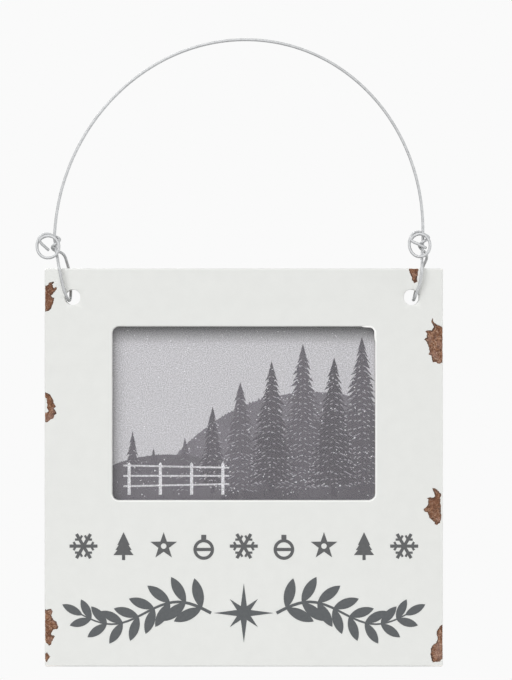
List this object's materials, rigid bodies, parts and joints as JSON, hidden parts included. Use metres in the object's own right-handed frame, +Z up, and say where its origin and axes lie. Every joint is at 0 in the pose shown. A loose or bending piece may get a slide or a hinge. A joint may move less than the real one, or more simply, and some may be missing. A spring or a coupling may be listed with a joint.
{
  "type": "picture frame ornament",
  "caption": "Small painted wooden picture frame with a printed face, a window with a clear cover and print, turn buttons behind, and a round bail of bent wire to hang it by.",
  "frame": {"origin": "on the wire's middle line at the top of the bail, where the ornament hangs, over the middle of the board's width", "axes": "+X to the right of someone who faces the print, -Y out of the board's front, +Z up"},
  "size_m": [0.1171, 0.0106, 0.1806],
  "materials": {
    "fibreboard": "bare brown fibreboard, rough",
    "paint": "off-white satin paint",
    "face_ink": "matte grey screen print",
    "clear_sheet": "clear and glossy",
    "print_mid": "mid grey ink on card",
    "print_dark": "dark grey ink on card",
    "print_light": "pale grey print on card",
    "hardboard": "brown hardboard",
    "button_steel": "zinc plated, dull",
    "screw_steel": "zinc plated",
    "wire": "galvanised, dull grey"
  },
  "bodies": {
    "hanger": {"wire_hanger": "wire"},
    "frame": {"frame_board": "fibreboard", "paint_coat": "paint", "motif_row": "face_ink", "sprig_row": "face_ink", "clear_cover": "clear_sheet", "insert_hills": "print_mid", "insert_firs": "print_dark", "insert_card": "print_light", "backing_board": "hardboard", "screw_1": "screw_steel", "screw_2": "screw_steel", "screw_3": "screw_steel", "screw_4": "screw_steel"},
    "button_1": {"turn_button_1": "button_steel"},
    "button_2": {"turn_button_2": "button_steel"},
    "button_3": {"turn_button_3": "button_steel"},
    "button_4": {"turn_button_4": "button_steel"}
  },
  "joints": [
    {"name": "frame_swing", "type": "hinge", "parent": "hanger", "child": "frame", "pos_m": [0, 0, -0.0728], "axis": [1, 0, 0], "range_deg": [-10, 10]},
    {"name": "turn_1", "type": "hinge", "parent": "frame", "child": "button_1", "pos_m": [-0.026, 0.0034, -0.07645], "axis": [0, 1, 0], "continuous": true},
    {"name": "turn_2", "type": "hinge", "parent": "frame", "child": "button_2", "pos_m": [0.026, 0.0034, -0.07645], "axis": [0, 1, 0], "continuous": true},
    {"name": "turn_3", "type": "hinge", "parent": "frame", "child": "button_3", "pos_m": [-0.026, 0.0034, -0.13865], "axis": [0, 1, 0], "continuous": true},
    {"name": "turn_4", "type": "hinge", "parent": "frame", "child": "button_4", "pos_m": [0.026, 0.0034, -0.13865], "axis": [0, 1, 0], "continuous": true}
  ]
}
